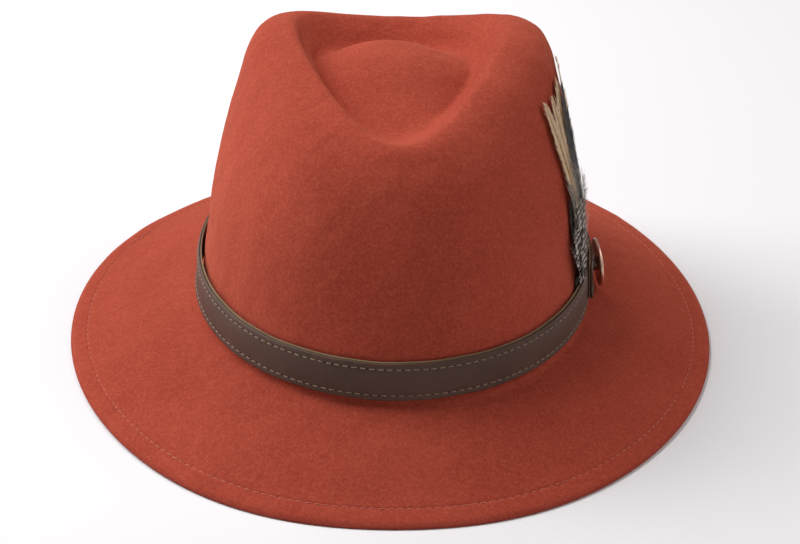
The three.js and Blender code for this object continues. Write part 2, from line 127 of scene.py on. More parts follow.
def control_point(index, angle):
    over = index > PEAK
    inside = np.where(over, 2 * PEAK - index, np.maximum(index, 0))
    inner = oval_point(inside, np.where(over, angle + np.pi, angle))
    before = 2 * oval_point(np.zeros_like(index), angle) - oval_point(np.ones_like(index), angle)
    return np.where((index < 0)[..., None], before, inner)


def catmull_rom(a, b, c, d, u):
    """The smooth curve from b to c, as u runs from 0 to 1; a and d are the points before and after."""
    bend = (2 * a - 5 * b + 4 * c - d) * u ** 2 + (3 * b - a - 3 * c + d) * u ** 3
    return 0.5 * (2 * b + (c - a) * u + bend)


def felt_point(row, angle):
    """A point of the felt's outer surface: row counts the ovals, angle runs from +X towards the back."""
    row, angle = np.broadcast_arrays(np.asarray(row, float), np.asarray(angle, float))
    index = np.minimum(np.floor(row).astype(int), PEAK - 1)
    corners = [control_point(index + step, angle) for step in (-1, 0, 1, 2)]
    return catmull_rom(*corners, (row - index)[..., None])


def unit(v):
    return v / np.maximum(np.linalg.norm(v, axis=-1, keepdims=True), 1e-12)


def round_hat(row, angle):
    return felt_point(row, angle + NEAR) - felt_point(row, angle - NEAR)


def along_hat(row, angle):
    return unit(round_hat(row, angle))


def felt_normal(row, angle):
    row, angle = np.broadcast_arrays(np.asarray(row, float), np.asarray(angle, float))
    upwards = felt_point(np.minimum(row + NEAR, PEAK), angle) - felt_point(np.maximum(row - NEAR, 0), angle)
    normal = unit(np.cross(round_hat(row, angle), upwards))
    return np.where((row > PEAK - NEAR)[..., None], [0, 0, 1], normal)


def off_felt(row, angle, out):
    """The same point moved out of the felt, or into it where out is negative."""
    return felt_point(row, angle) + felt_normal(row, angle) * np.asarray(out, float)[..., None]


def rows_by_length(start, stop, step):
    """Rows from start to stop, evenly spaced along the felt."""
    fine = np.linspace(start, stop, 400)
    gone = np.zeros(400)
    for angle in (0, math.pi / 2, math.pi, -math.pi / 2):
        steps = np.linalg.norm(np.diff(felt_point(fine, angle), axis=0), axis=1)
        gone[1:] += np.cumsum(steps) / 4
    count = max(2, round(gone[-1] / step))
    return np.interp(np.linspace(0, gone[-1], count + 1), gone, fine)


# ---------- meshes

TUBE_SIDES = 6


def grid_faces(rows, columns, wrap_rows=False, wrap_columns=False):
    i, j = np.meshgrid(np.arange(rows if wrap_rows else rows - 1),
                       np.arange(columns if wrap_columns else columns - 1), indexing="ij")
    i2, j2 = (i + 1) % rows, (j + 1) % columns
    corners = [i * columns + j, i2 * columns + j, i2 * columns + j2, i * columns + j2]
    return np.stack([c.ravel() for c in corners], -1)


def capped_faces(sections, sides):
    """Faces of one strip or tube of sections, closed at both ends."""
    corners = list(range(sections * sides))
    return grid_faces(sections, sides, wrap_columns=True).tolist() + [corners[:sides], corners[-sides:]]


def add_piece(name, points, faces, material, body, replaces=(), slot=None, uv=None):
    """A mesh piece from points in millimetres, on a CAD body. uv gives two numbers for each point."""
    mesh = bpy.data.meshes.new(name)
    faces = faces.tolist() if isinstance(faces, np.ndarray) else faces
    mesh.from_pydata((np.asarray(points, float).reshape(-1, 3) * MM).tolist(), [], faces)
    if uv is not None:
        layer = mesh.uv_layers.new(name="uv")
        loops = np.empty(len(mesh.loops), int)
        mesh.loops.foreach_get("vertex_index", loops)
        layer.data.foreach_set("uv", np.asarray(uv, float).reshape(-1, 2)[loops].ravel())
    tidy_mesh(mesh)
    mesh.polygons.foreach_set("use_smooth", [True] * len(mesh.polygons))
    mesh.materials.append(material)
    piece = bpy.data.objects.new(name, mesh)
    bpy.context.collection.objects.link(piece)
    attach(piece, body)
    if replaces:
        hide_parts(*replaces)
    return piece


def tidy_mesh(mesh):
    bm = bmesh.new()
    bm.from_mesh(mesh)
    bmesh.ops.remove_doubles(bm, verts=bm.verts, dist=1e-7)
    bmesh.ops.dissolve_degenerate(bm, edges=bm.edges, dist=1e-8)
    bmesh.ops.recalc_face_normals(bm, faces=bm.faces)
    bm.to_mesh(mesh)
    bm.free()


def tube_faces(runs, sections, sides):
    """Faces of a number of separate tubes with closed ends."""
    one = capped_faces(sections, sides)
    return [[corner + run * sections * sides for corner in face] for run in range(runs) for face in one]


def full_turn(sides):
    return np.linspace(0, FULL_TURN, sides, endpoint=False)


def tubes(centre, out, side, radius):
    """Points of tubes: centre, out and side are (runs, sections, 3), radius is (runs, sections)."""
    turn = full_turn(TUBE_SIDES)
    ring = (out[..., None, :] * np.cos(turn)[:, None] + side[..., None, :] * np.sin(turn)[:, None])
    return centre[..., None, :] + ring * radius[..., None, None]


def stitch_line(name, place, angles, radius, rise, material, body, replaces, slot):
    """A row of stitches. place(angle) gives a point, its outward normal and its direction along the row;
    angles is (stitches, 2), each stitch's two needle holes."""
    share = np.linspace(0, 1, 9)
    angle = angles[:, :1] + (angles[:, 1:] - angles[:, :1]) * share
    point, out, along = place(angle)
    height = rise * (np.sin(np.pi * share) ** 0.55) - radius * 1.15
    wide = radius * (0.72 + 0.28 * np.sin(np.pi * share) ** 0.5)
    centre = point + out * height[None, :, None]
    points = tubes(centre, out, np.cross(out, along), np.broadcast_to(wide, angle.shape))
    faces = tube_faces(len(angles), len(share), TUBE_SIDES)
    add_piece(name, points, faces, material, body, replaces, slot)


def stitch_angles(row_at, start, stop, pitch, gap):
    """Needle-hole angles for slightly uneven stitches of one pitch along a row from one angle to another."""
    fine = np.linspace(start, stop, 2000)
    gone = np.concatenate([[0], np.cumsum(np.linalg.norm(np.diff(row_at(fine), axis=0), axis=1))])
    count = int(gone[-1] // pitch)
    first = np.linspace(0, gone[-1], count, endpoint=False)
    jitter = rng.uniform(-0.06, 0.06, (count, 2)) * pitch
    holes = np.stack([first, first + pitch - gap], -1) + jitter
    return np.interp(holes, gone, fine)


# ---------- materials

def linear(r, g, b):
    """A colour as it looks on a screen, from 0 to 255, as the linear colour that shaders take."""
    shares = [c / 255 for c in (r, g, b)]
    return tuple(c / 12.92 if c <= 10 / 255 else ((c + 0.055) / 1.055) ** 2.4 for c in shares) + (1.0,)


def darker(colour, share):
    return tuple(c * share for c in colour[:3]) + (1,)


class Look:
    """A node material under construction."""

    def __init__(self, name, roughness, metallic=0.0):
        self.material = bpy.data.materials.new(name)
        self.material.use_nodes = True
        self.tree = self.material.node_tree
        self.shader = self.tree.nodes["Principled BSDF"]
        self.shader.inputs["Roughness"].default_value = roughness
        self.shader.inputs["Metallic"].default_value = metallic
        self.place = self.node("TexCoord").outputs["Object"]

    def node(self, kind, settings=None, **inputs):
        made = self.tree.nodes.new("ShaderNode" + kind)
        for key, value in (settings or {}).items():
            setattr(made, key, value)
        for key, value in inputs.items():
            self.feed(made.inputs[key.replace("_", " ")], value)
        return made

    def feed(self, socket, value):
        if isinstance(value, bpy.types.NodeSocket):
            self.tree.links.new(value, socket)
        else:
            socket.default_value = value

    def set(self, **inputs):
        for key, value in inputs.items():
            self.feed(self.shader.inputs[key.replace("_", " ")], value)

    def noise(self, scale, detail, roughness=0.5, place=None):
        words = {"Vector": place or self.place, "Scale": scale, "Detail": detail, "Roughness": roughness}
        return self.node("TexNoise", **words).outputs["Fac"]

    def stretched_noise(self, *scale, roughness):
        place = self.node("Mapping", Vector=self.place, Scale=scale).outputs["Vector"]
        return self.noise(1.0, 3, roughness, place)

    def ribs(self, scale, **words):
        """Bands across the height."""
        made = self.node("TexWave", {"bands_direction": "Z"}, Vector=self.place, Scale=scale, **words)
        return made.outputs["Fac"]

    def ramp(self, value, *stops):
        made = self.node("ValToRGB", Fac=value)
        elements = made.color_ramp.elements
        while len(elements) < len(stops):
            elements.new(0.5)
        for element, (position, colour) in zip(elements, stops):
            element.position = position
            element.color = colour
        return made.outputs["Color"]

    def grey(self, value, low, high, dark=0.0, light=1.0):
        """The value's stretch from low to high, as numbers from dark to light."""
        made = self.node("MapRange", Value=value, From_Min=low, From_Max=high, To_Min=dark, To_Max=light)
        return made.outputs["Result"]

    def mix(self, share, a, b):
        """Colour a with a share of colour b over it: the Mix node's colour sockets are 6, 7 and 2."""
        made = self.node("Mix", {"data_type": "RGBA"})
        self.feed(made.inputs[0], share)
        self.feed(made.inputs[6], a)
        self.feed(made.inputs[7], b)
        return made.outputs[2]

    def math(self, operation, a, b):
        made = self.node("Math", {"operation": operation})
        self.feed(made.inputs[0], a)
        self.feed(made.inputs[1], b)
        return made.outputs[0]

    def weighted(self, a, share_a, b, share_b):
        return self.math("ADD", self.math("MULTIPLY", a, share_a), self.math("MULTIPLY", b, share_b))

    def bump(self, height, strength, distance):
        return self.node("Bump", Height=height, Strength=strength, Distance=distance).outputs["Normal"]


def felt_look():
    """Mottled wool felt, flecked with lighter and darker fibres, with painted shade darkening it next to the
    floor, round the brim's cut edge.
    """
    look = Look("wool_felt", roughness=1.0)
    cloud = look.noise(28, 3)
    clumps = look.noise(400, 3, 0.6)
    nap = look.noise(880, 3, 0.65)
    fibres = look.stretched_noise(2600, 1300, 2100, roughness=0.65)
    cross_fibres = look.stretched_noise(1200, 2700, 1500, roughness=0.65)
    tone = look.weighted(clumps, 0.28, nap, 0.72)
    height = look.node("SeparateXYZ", Vector=look.place).outputs["Z"]
    colour = look.mix(look.grey(cloud, 0.35, 0.65), linear(165, 67, 51), linear(173, 73, 56))
    for share, over in (
        (look.grey(tone, 0.34, 0.5, 0.42, 0), linear(132, 48, 34)),
        (look.grey(tone, 0.5, 0.66, 0, 0.42), linear(206, 100, 76)),
        (look.grey(fibres, 0.58, 0.76, 0, 0.3), linear(206, 104, 80)),
        (look.grey(cross_fibres, 0.6, 0.78, 0, 0.35), linear(150, 58, 42)),
        # painted shade: the felt darkens within 2.4 mm of the floor, round the brim's cut edge
        (look.grey(height, 0.0006, 0.0024, 0.6, 0), linear(128, 52, 44)),
    ):
        colour = look.mix(share, colour, over)
    look.set(Base_Color=colour, Specular_IOR_Level=0.12)
    look.set(Sheen_Weight=0.36, Sheen_Roughness=0.5, Sheen_Tint=linear(236, 142, 110))
    look.set(Normal=look.bump(look.weighted(tone, 0.9, fibres, 0.25), 0.3, 0.0005))
    return look.material


def thread_look(name, colour, lit):
    look = Look(name, roughness=0.75)
    twist = look.noise(1900, 2)
    look.set(Base_Color=look.mix(look.grey(twist, 0.35, 0.65), colour, lit), Sheen_Weight=0.2)
    look.set(Normal=look.bump(twist, 0.4, 0.0002))
    return look.material


def leather_look(name, dark, light, roughness, grain=0.25):
    look = Look(name, roughness=roughness)
    cells = look.node("TexVoronoi", {"feature": "DISTANCE_TO_EDGE"}, Vector=look.place, Scale=900)
    pores = cells.outputs["Distance"]
    folds = look.noise(260, 5, 0.65)
    patches = look.noise(35, 3)
    shade = look.weighted(folds, 0.5, patches, 0.5)
    look.set(Base_Color=look.mix(look.grey(shade, 0.3, 0.7), dark, light))
    look.set(Roughness=look.grey(folds, 0.3, 0.7, roughness - 0.08, roughness + 0.12))
    height = look.math("ADD", look.math("MULTIPLY", look.grey(pores, 0, 0.12), 0.4), folds)
    look.set(Normal=look.bump(height, grain, 0.0004), Specular_IOR_Level=0.4)
    return look.material


def satin_look():
    look = Look("lining_satin", roughness=0.35)
    weave = look.noise(900, 2)
    look.set(Base_Color=look.mix(look.grey(weave, 0.35, 0.65), linear(122, 102, 80), linear(146, 124, 98)))
    look.set(Sheen_Weight=0.4, Sheen_Roughness=0.35, Anisotropic=0.4)
    look.set(Normal=look.bump(weave, 0.15, 0.0002))
    return look.material


def weave_look(name, dark, light, scale):
    """A plain ribbed weave."""
    look = Look(name, roughness=0.75)
    rib = look.ribs(scale, Distortion=0.6)
    look.set(Base_Color=look.mix(rib, dark, light), Sheen_Weight=0.3)
    look.set(Normal=look.bump(rib, 0.4, 0.0002))
    return look.material


def metal_look(name, colour, roughness, scratch):
    look = Look(name, roughness=roughness, metallic=1.0)
    worn = look.noise(320, 5, 0.7)
    look.set(Base_Color=look.mix(look.grey(worn, 0.4, 0.75), colour, darker(colour, 0.78)))
    look.set(Roughness=look.grey(worn, 0.3, 0.7, roughness, roughness + scratch))
    look.set(Normal=look.bump(worn, 0.05, 0.0002))
    return look.material


def feather_look(name, shaft_colour, stops, streaks, speckle=None):
    """Colour runs outwards along each barb, from 0 at its root to 1 at its tip, and the shaft has -0.5 there.
    speckle is (colour, scale, threshold)."""
    look = Look(name, roughness=0.55)
    uv = look.node("SeparateXYZ", Vector=look.node("UVMap", {"uv_map": "uv"}).outputs["UV"])
    outwards = uv.outputs["X"]
    streak = look.stretched_noise(900, 900, 250, roughness=0.6)
    wander = look.math("ADD", outwards, look.grey(streak, 0.3, 0.7, -0.14, 0.14))
    colour = look.ramp(wander, *stops)
    if speckle:
        spot_colour, scale, threshold = speckle
        bars = look.ribs(scale * 0.35, Distortion=6.0, Detail=2.0)
        spots = look.math("ADD", look.noise(scale, 2), look.math("MULTIPLY", bars, 0.35))
        colour = look.mix(look.grey(spots, threshold, threshold + 0.08), colour, spot_colour)
    root_colour = stops[0][1]
    colour = look.mix(look.grey(streak, 0.4, 0.75, 0, streaks), colour, darker(root_colour, 0.5))
    colour = look.mix(look.math("LESS_THAN", outwards, -0.1), colour, shaft_colour)
    look.set(Base_Color=colour, Sheen_Weight=0.2, Specular_IOR_Level=0.3)
    see_through = look.node("BsdfTranslucent", Color=colour)
    both = look.node("MixShader", Fac=0.3)
    look.tree.links.new(look.shader.outputs["BSDF"], both.inputs[1])
    look.tree.links.new(see_through.outputs["BSDF"], both.inputs[2])
    look.tree.links.new(both.outputs["Shader"], look.tree.nodes["Material Output"].inputs["Surface"])
    return look.material


FELT_LOOK = felt_look()
BRIM_THREAD = thread_look("brim_thread", linear(176, 82, 60), linear(204, 110, 84))
STRAP_THREAD = thread_look("strap_thread", linear(126, 104, 84), linear(158, 134, 110))
STRAP_LEATHER = leather_look("strap_leather", linear(72, 50, 39), linear(96, 68, 54), 0.5)
# painted shade: this near-black leather colours the discs that stand for the shade inside the needle holes
NEEDLE_HOLE_SHADE = leather_look("needle_hole_shade", linear(24, 17, 14), linear(38, 27, 22), 0.9)
BACKING_LEATHER = leather_look("strap_backing", linear(120, 100, 74), linear(152, 130, 98), 0.8)
SWEATBAND_LEATHER = leather_look("sweatband_leather", linear(92, 60, 42), linear(120, 82, 58), 0.5, 0.15)
LINING_LOOK = satin_look()
REED_LOOK = thread_look("reed", linear(58, 40, 30), linear(92, 66, 50))
RIBBON_LOOK = weave_look("bow_ribbon", linear(38, 26, 20), linear(62, 44, 36), 900)
LABEL_LOOK = weave_look("label_weave", linear(206, 198, 180), linear(232, 226, 210), 1100)
BADGE_METAL = metal_look("badge_metal", linear(250, 212, 188), 0.27, 0.12)
SCREW_METAL = metal_look("screw_metal", linear(206, 194, 182), 0.25, 0.15)
MOUNT_LOOK = leather_look("mount_leather", linear(34, 26, 22), linear(58, 46, 38), 0.8)
CREAM_LOOK = feather_look("feather_cream", linear(96, 70, 46), [
    (0.0, linear(150, 114, 76)), (0.1, linear(228, 192, 144)), (0.5, linear(252, 228, 188)),
    # painted shadow: the barb tips darken to brown at the vane's edge, for the shade between neighbouring
    # feathers
    (0.93, linear(250, 232, 202)), (1.0, linear(110, 82, 58)),
], streaks=0.12)
DARK_LOOK = feather_look("feather_dark", linear(26, 22, 20), [
    (0.0, linear(22, 18, 16)), (0.55, linear(40, 34, 31)), (0.86, linear(96, 90, 86)),
    (1.0, linear(168, 158, 148)),
], streaks=0.3)
GREY_LOOK = feather_look("feather_grey", linear(92, 88, 84), [
    (0.0, linear(84, 76, 72)), (0.4, linear(140, 130, 122)), (1.0, linear(226, 216, 206)),
], streaks=0.2)
SPECKLED_LOOK = feather_look("feather_speckled", linear(30, 27, 25), [
    (0.0, linear(20, 16, 15)), (0.7, linear(40, 33, 30)), (1.0, linear(96, 86, 80)),
], streaks=0.3, speckle=(linear(246, 236, 226), 300, 0.66))


# ---------- the felt

def soft_relief(points, count, lengths, height):
    """Random smooth unevenness over points in space, a sum of waves of the given lengths in millimetres."""
    way = unit(rng.normal(size=(count, 3)))
    length = rng.uniform(*lengths, count)
    start = rng.uniform(0, FULL_TURN, count)
    total = np.zeros(points.shape[:-1])
    for k in range(count):
        total += np.sin(points @ way[k] * FULL_TURN / length[k] + start[k])
    return total * height * math.sqrt(2 / count)


def edge_drop(row, drop, reach):
    """How far a face of the felt falls away over its last reach, where it rounds into the brim's cut edge."""
    inward = float(np.linalg.norm(felt_point(row, 0.0) - felt_point(0, 0.0)))
    return drop * max(0.0, 1 - inward / reach) ** 2


def right_crease(row, angle):
    """The pinched fold on the wearer's right: a ridge along the crest and a dip just inside it."""
    away = (np.degrees(angle) - 195 + 180) % 360 - 180
    ridge = 0.75 * math.exp(-((row - ROW["crest"] - 0.2) / 0.34) ** 2)
    dip = 1.3 * math.exp(-((row - ROW["crest_inner"] - 0.2) / 0.5) ** 2)
    return (ridge - dip) * np.exp(-(away / 62) ** 2)


def seam_groove(row):
    return 0.34 * math.exp(-((row - BRIM_SEAM) / 0.05) ** 2)


def felt_body():
    angle = full_turn(420)
    seam_from, seam_to = BRIM_SEAM - 0.14, BRIM_SEAM + 0.14
    outer = np.concatenate([
        [0, 0.03, 0.07, 0.12, 0.18], rows_by_length(0.25, seam_from, 2)[:-1],
        np.linspace(seam_from, seam_to, 11)[:-1], rows_by_length(seam_to, PEAK, 2),
    ])
    inner = np.concatenate([rows_by_length(0.24, PEAK, 3.2)[::-1], [0.15, 0.08, 0.03, 0]])
    columns = []
    for row in outer:
        out = right_crease(row, angle) - seam_groove(row) - edge_drop(row, 1.15, 4.2)
        columns.append(off_felt(row, angle, out))
    for row in inner:
        columns.append(off_felt(row, angle, edge_drop(row, 0.4, 1.6) - FELT))
    # The cut edge bulges between the two faces, from three quarters of the felt's thickness to half of it.
    outwards = unit(felt_point(0, angle) - felt_point(0.05, angle))
    for share in (0.76, 0.65, 0.54):
        bulge = 0.25 + 0.15 * math.sin(math.pi * (share - 0.5) / 0.3)
        columns.append(off_felt(0, angle, -FELT * share) + outwards * bulge)
    points = np.stack(columns, 1)
    face = points[:, :len(outer)]
    normal = np.stack([felt_normal(row, angle) for row in outer], 1)
    face += normal * (soft_relief(face, 60, (9, 34), 0.1) + soft_relief(face, 60, (4.5, 9), 0.02))[..., None]
    points[..., 2] = np.maximum(points[..., 2], 0)
    faces = grid_faces(len(angle), len(columns), wrap_rows=True, wrap_columns=True)
    add_piece("felt_hat", points, faces, FELT_LOOK, "hat", ["felt_body"], "felt")


def brim_stitches(name, out, side, node):
    """Stitches on the brim's upper side (1) or its underside (-1)."""
    def place(angle):
        normal = felt_normal(BRIM_SEAM, angle) * side
        return off_felt(BRIM_SEAM, angle, out), normal, along_hat(BRIM_SEAM, angle)

    angles = stitch_angles(lambda angle: felt_point(BRIM_SEAM, angle), 0, FULL_TURN, 3.9, 0.9)
    stitch_line(name, place, angles, 0.33, 0.26, BRIM_THREAD, "hat", [node], "brim_thread")


felt_body()
brim_stitches("brim_stitches_top", -0.22, 1, "brim_needle_thread")
brim_stitches("brim_stitches_under", -FELT + 0.1, -1, "brim_bobbin_thread")


# ---------- the leather band

STRAP_FACE = 2 * STRAP_PLY
STRAP_TALL = 19.5                                    # roughly the strap's height, for easing its edges
STRAP_END = 360 + STRAP_OVERLAP                      # degrees along the strap, from its inner end
STRAP_SEWN = (STRAP_OVERLAP + 6, STRAP_END - 1)      # the stretch that shows its stitching


def strap_angle(degrees):
    return np.radians(STRAP_START - np.asarray(degrees, float))


def strap_out(degrees):
    side = np.cos(strap_angle(degrees))
    gap = STRAP_GAP + np.where(side > 0, STRAP_RIGHT_GAP, STRAP_LEFT_GAP) * side ** 2
    climb_from, climb_to = STRAP_CLIMB
    share = np.clip((np.asarray(degrees, float) - climb_from) / (climb_to - climb_from), 0, 1)
    return gap + (STRAP_FACE + AIR) * share * share * (3 - 2 * share)


def strap_point(row, degrees, out):
    row, degrees, out = np.broadcast_arrays(row, degrees, out)
    return off_felt(row, strap_angle(degrees), strap_out(degrees) + out)


def strap_ply(name, rows, near, far, round_by, material, nodes, slot, sag=0.0):
    """One ply of the strap: a slightly wavy strip with rounded edges, that dips along its two seams."""
    degrees = np.linspace(0, STRAP_END, 520)
    low, high = rows
    across = np.concatenate([[0, 0.012, 0.035], np.linspace(0.07, 0.93, 25), [0.965, 0.988, 1]])
    section = []
    for share in across:
        edge = min(share, 1 - share) * STRAP_TALL
        drop = round_by * max(0.0, 1 - edge / (2 * round_by)) ** 2
        row = low + (high - low) * share
        seam = sag * sum(math.exp(-((row - line) / 0.03) ** 2) for line in STRAP_SEAMS)
        section.append((row, far - drop - seam))
    for share in across[::-3]:
        section.append((low + (high - low) * share, near))
    points = np.stack([strap_point(row, degrees, out) for row, out in section], 1)
    wobble = 0.12 * np.sin(np.radians(degrees) * 9 + 1) + 0.08 * np.sin(np.radians(degrees) * 23)
    points[..., 2] += wobble[:, None]
    add_piece(name, points, capped_faces(len(degrees), len(section)), material, "band", nodes, slot)


def strap_stitch_degrees(row, gap):
    return stitch_angles(lambda degrees: strap_point(row, degrees, STRAP_FACE), *STRAP_SEWN, 3.8, gap)


def strap_ways(row, degrees):
    """Directions out of the strap and along it."""
    angle = strap_angle(degrees)
    return felt_normal(row, angle), -along_hat(row, angle)


def strap_stitches(name, row, node):
    def place(degrees):
        return strap_point(row, degrees, STRAP_FACE - 0.12), *strap_ways(row, degrees)

    degrees = strap_stitch_degrees(row, 0.9)
    stitch_line(name, place, degrees, 0.3, 0.42, STRAP_THREAD, "band", [node], "strap_thread")


def strap_needle_holes(name, row):
    """Painted shade of the needle holes between the stitches: flat dark discs on the leather where the needle
    went through.
    """
    degrees = strap_stitch_degrees(row, 0)[:, :1]
    share = np.linspace(-1, 1, 5)
    normal, along = strap_ways(row, degrees)
    centre = strap_point(row, degrees, STRAP_FACE - 0.2) + along * 0.5 * share[:, None]
    side = np.cross(normal, along) * 0.42
    turn = full_turn(8)
    wide = np.sqrt(1.04 - share ** 2)[:, None]
    rim = normal[..., None, :] * 0.1 * np.sin(turn)[:, None] + side[..., None, :] * np.cos(turn)[:, None]
    points = centre[..., None, :] + rim * wide[..., None]
    faces = tube_faces(len(degrees), len(share), len(turn))
    add_piece(name, points, faces, NEEDLE_HOLE_SHADE, "band", slot="strap_leather")


low_row, high_row = STRAP_ROWS
backing_out = STRAP_PLY - AIR
strap_ply("strap_backing", STRAP_ROWS, 0, backing_out, 0.2, BACKING_LEATHER, ["band_backing"],
          "strap_backing")
strap_ply("strap_face", (low_row + 0.02, high_row - 0.025), backing_out + 0.02, STRAP_FACE, 0.45,
          STRAP_LEATHER, ["band_strap"], "strap_leather", sag=0.22)
strap_stitches("strap_stitches_upper", STRAP_SEAMS[1], "band_upper_thread")
strap_stitches("strap_stitches_lower", STRAP_SEAMS[0], "band_lower_thread")
strap_needle_holes("strap_needle_holes_upper", STRAP_SEAMS[1])
strap_needle_holes("strap_needle_holes_lower", STRAP_SEAMS[0])


# ---------- inside the crown

SWEATBAND_ROWS = (3.7, 5.4)
SWEATBAND_OUT = -FELT - 0.6
SWEATBAND_THICK = 0.9
SWEATBAND_FACE = SWEATBAND_OUT - SWEATBAND_THICK
REED_ROW = 3.5
LINING_ROWS = (5.5, 6.5)
LINING_OUT = -FELT - 0.5
LINING_THICK = 0.25
TIP_ROW = 6.6
TIP_MIDDLE = np.array([1, 2, 101.0])    # where the lining's crown piece sags lowest
BOW_ROW = 4.45
BOW_HALF = 8.4                          # half width of the bow
LABEL_ROWS = (4.5, 5.1)
LABEL_DEGREES = (58, 70)


def ring(section, stations):
    """Points and faces of a closed ring; section(angles) gives (stations, corners, 3)."""
    points = section(full_turn(stations))
    return points, grid_faces(stations, points.shape[1], wrap_rows=True, wrap_columns=True)


def sweatband():
    """A strip of leather with softened edges, its face to the head."""
    share = np.concatenate([[0, 0.01, 0.03], np.linspace(0.06, 0.94, 16), [0.97, 0.99, 1]])
    low, high = SWEATBAND_ROWS
    drop = 0.35 * np.clip(1 - np.minimum(share, 1 - share) / 0.03, 0, 1) ** 2
    face = list(zip(low + (high - low) * share, SWEATBAND_FACE + drop))
    back = [(row, SWEATBAND_OUT) for row, _ in face[::-3]]

    def section(angle):
        return np.stack([off_felt(row, angle, out) for row, out in face + back], 1)

    add_piece("sweatband_leather", *ring(section, 240), SWEATBAND_LEATHER, "hat", ["sweatband"],
              "sweatband_leather")


def sweatband_reed():
    """The stiff cord in the sweatband's lower edge, bound with a spiral of tape."""
    tape_turns = 150

    def section(angle):
        normal = felt_normal(REED_ROW, angle)
        centre = off_felt(REED_ROW, angle, -FELT - 1.6)
        side = np.cross(normal, along_hat(REED_ROW, angle))
        turn = full_turn(12)
        radius = 1.0 + 0.08 * np.sin(turn + tape_turns * angle[:, None])
        rim = normal[:, None] * np.cos(turn)[:, None] + side[:, None] * np.sin(turn)[:, None]
        return centre[:, None] + rim * radius[..., None]

    add_piece("sweatband_reed_cord", *ring(section, 900), REED_LOOK, "hat", ["sweatband_reed"], "reed")


def sweatband_stitches():
    row = SWEATBAND_ROWS[0] + 0.16

    def place(angle):
        centre = off_felt(row, angle, SWEATBAND_FACE + 0.1)
        return centre, -felt_normal(row, angle), along_hat(row, angle)

    angles = stitch_angles(lambda angle: felt_point(row, angle), 0, FULL_TURN, 3.2, 0.8)
    stitch_line("sweatband_stitches", place, angles, 0.27, 0.3, STRAP_THREAD, "hat", ["sweatband_thread"],
                "strap_thread")


def lining_wall():
    """Satin round the inside of the crown, drawn into soft upright folds that deepen upwards."""
    rows = np.linspace(*LINING_ROWS, 12)

    def section(angle):
        fold = 0.5 + 0.5 * np.sin(68 * angle + 2.2 * np.sin(5 * angle) + 1.4 * np.sin(11 * angle))
        runs = [(row, LINING_OUT - LINING_THICK) for row in rows] + [(row, LINING_OUT) for row in rows[::-1]]
        deep = 1.1 * (0.35 + 0.65 * (rows - rows[0]))
        return np.stack([off_felt(row, angle, out - fold * most)
                         for (row, out), most in zip(runs, [*deep, *deep[::-1]])], 1)

    piece = add_piece("lining_wall_satin", *ring(section, 900), LINING_LOOK, "hat", ["lining_wall"], "lining")


def lining_tip():
    """The lining's crown piece: an oval of satin, gathered into the wall and sagging in the middle."""
    stations = 480
    shares = np.linspace(1, 0, 26)[:-1]
    angle = full_turn(stations)
    rim = off_felt(TIP_ROW, angle, LINING_OUT - 0.9)
    fold = 1 + np.sin(60 * angle + 1.8 * np.sin(4 * angle))
    top = TIP_MIDDLE + (rim - TIP_MIDDLE)[:, None] * shares[:, None]
    sag = (rim[:, 2:] - TIP_MIDDLE[2]) * shares ** 2
    top[..., 2] = TIP_MIDDLE[2] + sag - 0.45 * fold[:, None] * shares ** 6
    thick = np.array([0, 0, LINING_THICK])
    sections = np.concatenate([top, top[:, ::-1] - thick], 1)
    points = np.concatenate([sections.reshape(-1, 3), [TIP_MIDDLE, TIP_MIDDLE - thick]])

    # Both faces close on their middle points, and the rim joins them.
    count = len(shares)
    step = 2 * count
    upper_middle, lower_middle = stations * step, stations * step + 1
    faces = grid_faces(stations, step, wrap_rows=True)
    faces = faces[faces[:, 0] % step != count - 1].tolist()
    for station in range(stations):
        here, then = station * step, (station + 1) % stations * step
        faces.append([here, then, then + step - 1, here + step - 1])
        faces.append([here + count - 1, then + count - 1, upper_middle])
        faces.append([here + count, lower_middle, then + count])
    piece = add_piece("lining_tip_satin", points, faces, LINING_LOOK, "hat", ["lining_tip"], "lining")


def sweatband_bow():
    """A flat bow of narrow ribbon: two loops and a knot."""
    centre = off_felt(BOW_ROW, np.pi / 2, SWEATBAND_FACE - 1.3)
    loop = np.pi * np.linspace(0, 1, 33)
    x = BOW_HALF * np.concatenate([-np.sin(loop[::-1]) ** 0.8, np.sin(loop[1:]) ** 0.8])
    depth = 0.42 * np.concatenate([-np.cos(loop[::-1]), np.cos(loop[1:])])
    high = 2.2 + 2.8 * np.abs(x / BOW_HALF)
    flat = np.zeros_like(x)
    thick = 0.12
    spine = np.stack([x, depth - x * x / 170, flat], 1)
    along = unit(np.gradient(spine, axis=0))
    out = np.stack([along[:, 1], -along[:, 0], flat], 1) * thick
    across = np.linspace(-1, 1, 7)
    points = []
    for side, order in ((1, across), (-1, across[::-1])):
        for share in order:
            cup = flat + 0.08 * np.cos(share * 5)
            points.append(spine + out * side + np.stack([flat, cup, high * share], 1))
    points = np.stack(points, 1) + centre
    faces = capped_faces(*points.shape[:2])
    piece = add_piece("sweatband_bow_ribbon", points, faces, RIBBON_LOOK, "hat", ["sweatband_bow"], "ribbon")

    turn = full_turn(16)
    height = np.linspace(-1, 1, 9)[:, None]
    wide = 1.5 * (1 - 0.5 * height ** 4) * np.cos(turn)
    deep = 0.85 * (1 - 0.4 * height ** 4) * np.sin(turn)
    knot = np.stack([wide, deep, 1.9 * height + 0 * turn], -1) + centre
    faces = capped_faces(*knot.shape[:2])
    add_piece("sweatband_bow_knot", knot, faces, RIBBON_LOOK, "hat", slot="ribbon")


